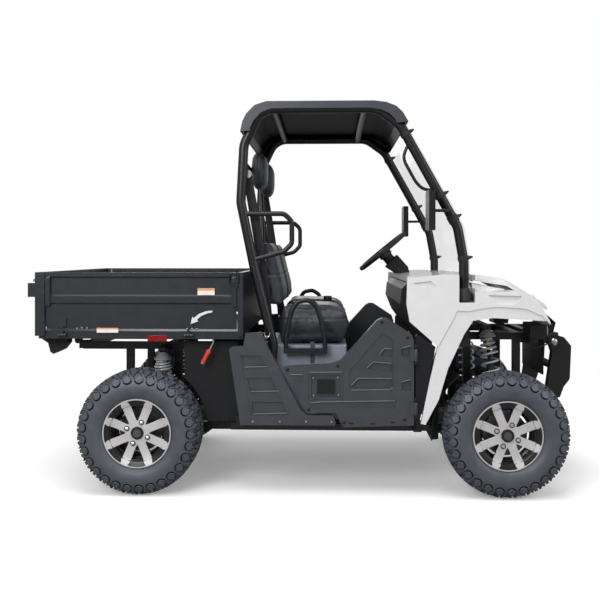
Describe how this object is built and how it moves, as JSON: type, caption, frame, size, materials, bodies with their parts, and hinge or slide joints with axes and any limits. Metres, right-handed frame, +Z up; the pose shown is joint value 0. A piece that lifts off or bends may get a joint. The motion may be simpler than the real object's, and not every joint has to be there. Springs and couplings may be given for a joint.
{
  "type": "side by side utility vehicle with a tipping drop-side bed",
  "caption": "Two-seat side-by-side utility vehicle with roll cage, roof, half doors, opening hood, steered front wheels and a tipping bed with drop sides.",
  "frame": {"origin": "on the ground under the middle of the vehicle's bounding box", "axes": "+X forward, +Y to the vehicle's left, +Z up"},
  "size_m": [2.885, 1.55, 2.02],
  "materials": {
    "bed_black": "satin powder coat",
    "lever_red": "dipped",
    "black_steel": "satin powder coat",
    "dark_plastic": "fine moulded grain",
    "damper_steel": "gloss",
    "white_plastic": "gloss",
    "lamp_clear": "clear lens",
    "seat_vinyl": "grained vinyl",
    "bare_steel": "turned",
    "cast_iron": "as cast, painted",
    "cast_alloy": "as cast",
    "machined_alloy": "machined",
    "roof_black": "moulded",
    "grey_plastic": "moulded",
    "spring_silver": "gloss",
    "wheel_rubber": "soft grip",
    "lamp_red": "clear red",
    "tyre_rubber": "moulded",
    "clear_screen": "clear sheet"
  },
  "bodies": {
    "chassis": {"bumper": "black_steel", "cage": "black_steel", "controls": "dark_plastic", "dampers": "damper_steel", "dash": "dark_plastic", "floor_pan": "dark_plastic", "frame": "black_steel", "front_body": "white_plastic", "headlamps": "lamp_clear", "headrests": "seat_vinyl", "hip_hoops": "black_steel", "mirrors": "dark_plastic", "nose": "dark_plastic", "powertrain": "cast_alloy", "quarter_panels": "dark_plastic", "roof": "roof_black", "seat_backs": "seat_vinyl", "seat_base": "grey_plastic", "seat_cushions": "seat_vinyl", "seat_rails": "black_steel", "side_trim": "dark_plastic", "springs": "spring_silver", "steering_column": "dark_plastic", "suspension_arms": "black_steel", "wheel_liners": "dark_plastic", "windscreen": "clear_screen"},
    "wheel_front_left": {"tyre_front_left": "tyre_rubber", "rim_front_left": "machined_alloy", "hub_front_left": "bare_steel"},
    "wheel_front_right": {"tyre_front_right": "tyre_rubber", "rim_front_right": "machined_alloy", "hub_front_right": "bare_steel"},
    "wheel_rear_left": {"tyre_rear_left": "tyre_rubber", "rim_rear_left": "machined_alloy", "hub_rear_left": "bare_steel"},
    "wheel_rear_right": {"tyre_rear_right": "tyre_rubber", "rim_rear_right": "machined_alloy", "hub_rear_right": "bare_steel"},
    "upright_left": {"knuckle_left": "cast_iron"},
    "upright_right": {"knuckle_right": "cast_iron"},
    "rack": {"tie_rods": "bare_steel"},
    "steering_wheel": {"steering_wheel": "wheel_rubber"},
    "door_left": {"door_left": "dark_plastic"},
    "door_right": {"door_right": "dark_plastic"},
    "hood": {"hood": "white_plastic"},
    "bed": {"bed": "bed_black", "tail_lamps": "lamp_red", "bed_lever": "lever_red"},
    "gate_left": {"gate_left": "bed_black"},
    "gate_right": {"gate_right": "bed_black"},
    "tailgate": {"tailgate": "bed_black"}
  },
  "joints": [
    {"name": "steer_left", "type": "hinge", "parent": "chassis", "child": "upright_left", "pos_m": [1.0105, 0.575, 0.3175], "axis": [0, 0, 1], "range_deg": [-25, 25]},
    {"name": "steer_right", "type": "hinge", "parent": "chassis", "child": "upright_right", "pos_m": [1.0105, -0.575, 0.3175], "axis": [0, 0, 1], "range_deg": [-25, 25]},
    {"name": "rack_slide", "type": "slide", "parent": "chassis", "child": "rack", "axis": [0, 1, 0], "range_m": [-0.0515, 0.0515]},
    {"name": "steering_wheel_turn", "type": "hinge", "parent": "chassis", "child": "steering_wheel", "pos_m": [0.4515, 0.35, 1.25], "axis": [-0.6374, 0, 0.7705], "range_deg": [-305, 305]},
    {"name": "wheel_front_left_spin", "type": "hinge", "parent": "upright_left", "child": "wheel_front_left", "pos_m": [1.0105, 0.6385, 0.3175], "axis": [0, 1, 0], "continuous": true},
    {"name": "wheel_front_right_spin", "type": "hinge", "parent": "upright_right", "child": "wheel_front_right", "pos_m": [1.0105, -0.6385, 0.3175], "axis": [0, 1, 0], "continuous": true},
    {"name": "wheel_rear_left_spin", "type": "hinge", "parent": "chassis", "child": "wheel_rear_left", "pos_m": [-0.8645, 0.613, 0.3175], "axis": [0, 1, 0], "continuous": true},
    {"name": "wheel_rear_right_spin", "type": "hinge", "parent": "chassis", "child": "wheel_rear_right", "pos_m": [-0.8645, -0.613, 0.3175], "axis": [0, 1, 0], "continuous": true},
    {"name": "door_left_hinge", "type": "hinge", "parent": "chassis", "child": "door_left", "pos_m": [0.5525, 0.69, 0.42], "axis": [0, 0, -1], "range_deg": [0, 70]},
    {"name": "gate_left_hinge", "type": "hinge", "parent": "bed", "child": "gate_left", "pos_m": [-0.8665, 0.665, 0.813], "axis": [-1, 0, 0], "range_deg": [0, 90]},
    {"name": "door_right_hinge", "type": "hinge", "parent": "chassis", "child": "door_right", "pos_m": [0.5525, -0.69, 0.42], "axis": [0, 0, 1], "range_deg": [0, 70]},
    {"name": "gate_right_hinge", "type": "hinge", "parent": "bed", "child": "gate_right", "pos_m": [-0.8665, -0.665, 0.813], "axis": [1, 0, 0], "range_deg": [0, 90]},
    {"name": "hood_hinge", "type": "hinge", "parent": "chassis", "child": "hood", "pos_m": [0.9015, 0, 1.104], "axis": [0, -1, 0], "range_deg": [0, 55]},
    {"name": "bed_tilt", "type": "hinge", "parent": "chassis", "child": "bed", "pos_m": [-1.2945, 0, 0.748], "axis": [0, -1, 0], "range_deg": [0, 40]},
    {"name": "tailgate_hinge", "type": "hinge", "parent": "bed", "child": "tailgate", "pos_m": [-1.4055, 0, 0.813], "axis": [0, -1, 0], "range_deg": [0, 90]}
  ],
  "couplings": [
    {"joint": "steer_right", "follows": "steer_left", "ratio": 1},
    {"joint": "rack_slide", "follows": "steer_left", "m_per_rad": -0.1},
    {"joint": "steering_wheel_turn", "follows": "steer_left", "ratio": 12}
  ]
}
